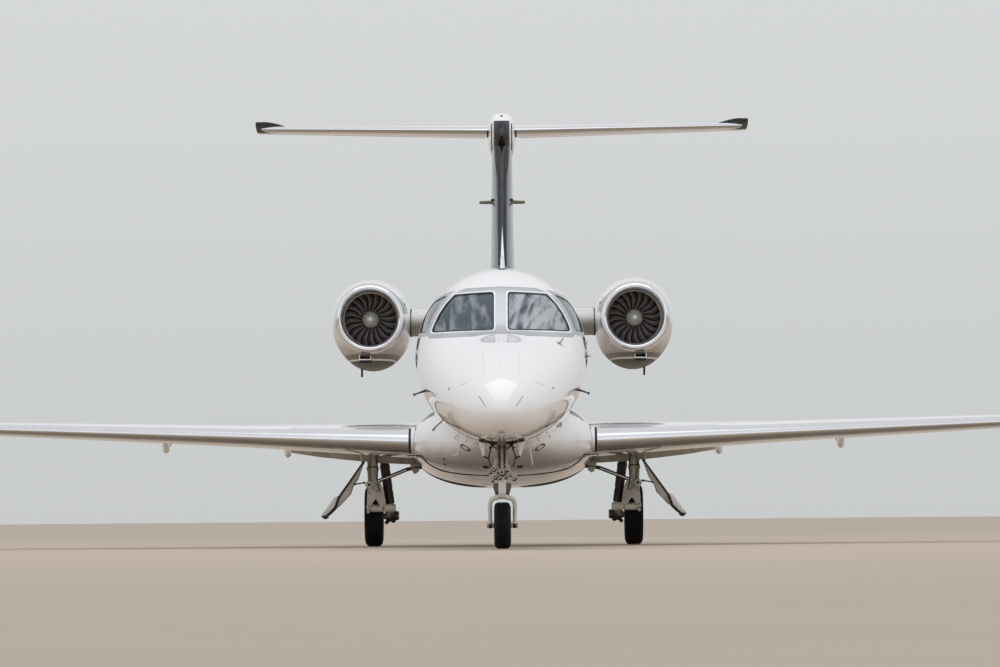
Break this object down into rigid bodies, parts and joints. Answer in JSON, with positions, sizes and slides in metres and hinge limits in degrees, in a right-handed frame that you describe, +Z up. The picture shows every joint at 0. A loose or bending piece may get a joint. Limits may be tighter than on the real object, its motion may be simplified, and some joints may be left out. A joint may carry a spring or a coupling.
{
  "type": "business jet",
  "caption": "Twin-engine business jet with a low swept wing, upturned wing tips, T-tail, engines beside the rear fuselage and a tricycle undercarriage, parked on its wheels.",
  "frame": {"origin": "on the ground under the middle of the aircraft's length and span", "axes": "+Z up, +X towards the aircraft's port side, which is the right of a picture taken from the front, and -Y towards the nose"},
  "size_m": [15.916, 15.6457, 5.1],
  "materials": {
    "white_paint": "gloss",
    "polished_metal": "polished",
    "window_glass": "gloss",
    "engine_metal": "satin",
    "fan_metal": "satin",
    "wheel_metal": "satin",
    "gear_paint": "satin",
    "black_paint": "satin",
    "black_plastic": "matte",
    "tyre_rubber": "matte",
    "seat_leather": "satin",
    "carpet": "matte"
  },
  "bodies": {
    "airframe": {"nose_cone": "white_paint", "forward_fuselage": "white_paint", "cabin_fuselage": "white_paint", "aft_fuselage": "white_paint", "belly_fairing": "white_paint", "windscreen_port": "window_glass", "windscreen_starboard": "window_glass", "cockpit_side_window_port": "window_glass", "cockpit_side_window_starboard": "window_glass", "cabin_windows_port": "window_glass", "cabin_windows_starboard": "window_glass", "wing_port": "white_paint", "wing_starboard": "white_paint", "wing_leading_edge_port": "polished_metal", "wing_leading_edge_starboard": "polished_metal", "tailplane": "white_paint", "fin": "white_paint", "ventral_fin": "white_paint", "nacelle_port": "white_paint", "nacelle_starboard": "white_paint", "inlet_lip_port": "polished_metal", "inlet_lip_starboard": "polished_metal", "engine_core_port": "engine_metal", "engine_core_starboard": "engine_metal", "pylon_port": "white_paint", "pylon_starboard": "white_paint", "main_leg_port": "gear_paint", "main_leg_starboard": "gear_paint", "main_trailing_link_port": "gear_paint", "main_trailing_link_starboard": "gear_paint", "main_shock_strut_port": "black_paint", "main_shock_strut_starboard": "black_paint", "main_gear_door_port": "white_paint", "main_gear_door_starboard": "white_paint", "nose_strut": "gear_paint", "nose_gear_door_port": "white_paint", "nose_gear_door_starboard": "white_paint", "cabin_floor": "carpet", "instrument_panel": "black_plastic", "cockpit_seats": "seat_leather", "cabin_seats": "seat_leather"},
    "nose_fork_body": {"nose_fork": "gear_paint"},
    "nose_wheel_body": {"nose_tyre": "tyre_rubber", "nose_wheel": "wheel_metal"},
    "main_wheel_port_body": {"main_tyre_port": "tyre_rubber", "main_wheel_port": "wheel_metal"},
    "main_wheel_starboard_body": {"main_tyre_starboard": "tyre_rubber", "main_wheel_starboard": "wheel_metal"},
    "fan_port_body": {"fan_port": "fan_metal"},
    "fan_starboard_body": {"fan_starboard": "fan_metal"},
    "entry_door_body": {"entry_door": "white_paint"},
    "baggage_door_body": {"baggage_door": "white_paint"},
    "aileron_port_body": {"aileron_port": "white_paint"},
    "aileron_starboard_body": {"aileron_starboard": "white_paint"},
    "flap_port_body": {"flap_port": "white_paint"},
    "flap_starboard_body": {"flap_starboard": "white_paint"},
    "elevator_port_body": {"elevator_port": "white_paint"},
    "elevator_starboard_body": {"elevator_starboard": "white_paint"},
    "rudder_body": {"rudder": "white_paint"}
  },
  "joints": [
    {"name": "nose_steering", "type": "hinge", "parent": "airframe", "child": "nose_fork_body", "pos_m": [0, -5.67, 0.6], "axis": [0, 0, 1], "range_deg": [-60, 60]},
    {"name": "nose_wheel_spin", "type": "hinge", "parent": "nose_fork_body", "child": "nose_wheel_body", "pos_m": [0, -5.62, 0.2275], "axis": [1, 0, 0], "continuous": true},
    {"name": "main_wheel_port_spin", "type": "hinge", "parent": "airframe", "child": "main_wheel_port_body", "pos_m": [1.413, 0.9, 0.32841], "axis": [1, 0, 0], "continuous": true},
    {"name": "main_wheel_starboard_spin", "type": "hinge", "parent": "airframe", "child": "main_wheel_starboard_body", "pos_m": [-1.413, 0.9, 0.32841], "axis": [1, 0, 0], "continuous": true},
    {"name": "fan_port_spin", "type": "hinge", "parent": "airframe", "child": "fan_port_body", "pos_m": [1.468, 2.2, 2.518], "axis": [0, 1, 0], "continuous": true},
    {"name": "fan_starboard_spin", "type": "hinge", "parent": "airframe", "child": "fan_starboard_body", "pos_m": [-1.468, 2.2, 2.518], "axis": [0, 1, 0], "continuous": true},
    {"name": "entry_door_hinge", "type": "hinge", "parent": "airframe", "child": "entry_door_body", "pos_m": [0.59, -3.49, 1.228], "axis": [0, 1, 0], "range_deg": [0, 135]},
    {"name": "baggage_door_hinge", "type": "hinge", "parent": "airframe", "child": "baggage_door_body", "pos_m": [0.715, 2.27, 1.394], "axis": [0, 1, 0], "range_deg": [0, 110]},
    {"name": "aileron_port_hinge", "type": "hinge", "parent": "airframe", "child": "aileron_port_body", "pos_m": [4.99, 1.86745, 1.28095], "axis": [0.9468, 0.3189, 0.0424], "range_deg": [-20, 20]},
    {"name": "aileron_starboard_hinge", "type": "hinge", "parent": "airframe", "child": "aileron_starboard_body", "pos_m": [-4.99, 1.86745, 1.28095], "axis": [0.9468, -0.3189, -0.0424], "range_deg": [-20, 20]},
    {"name": "flap_port_hinge", "type": "hinge", "parent": "airframe", "child": "flap_port_body", "pos_m": [1.075, 0.70863, 0.94475], "axis": [-0.9721, -0.2303, -0.0439], "range_deg": [0, 35]},
    {"name": "flap_starboard_hinge", "type": "hinge", "parent": "airframe", "child": "flap_starboard_body", "pos_m": [-1.075, 0.70863, 0.94475], "axis": [-0.9721, 0.2303, 0.0439], "range_deg": [0, 35]},
    {"name": "elevator_port_hinge", "type": "hinge", "parent": "airframe", "child": "elevator_port_body", "pos_m": [0.205, 6.72731, 4.90233], "axis": [0.9574, 0.2863, 0.0369], "range_deg": [0, 32]},
    {"name": "elevator_starboard_hinge", "type": "hinge", "parent": "airframe", "child": "elevator_starboard_body", "pos_m": [-0.205, 6.72731, 4.90233], "axis": [0.9574, -0.2863, -0.0369], "range_deg": [0, 32]},
    {"name": "rudder_hinge", "type": "hinge", "parent": "airframe", "child": "rudder_body", "pos_m": [0, 5.92146, 2.9], "axis": [0, 0.3607, 0.9327], "range_deg": [-25, 25]}
  ],
  "couplings": [
    {"joint": "aileron_starboard_hinge", "follows": "aileron_port_hinge", "ratio": -1},
    {"joint": "flap_starboard_hinge", "follows": "flap_port_hinge", "ratio": 1},
    {"joint": "elevator_starboard_hinge", "follows": "elevator_port_hinge", "ratio": 1}
  ]
}
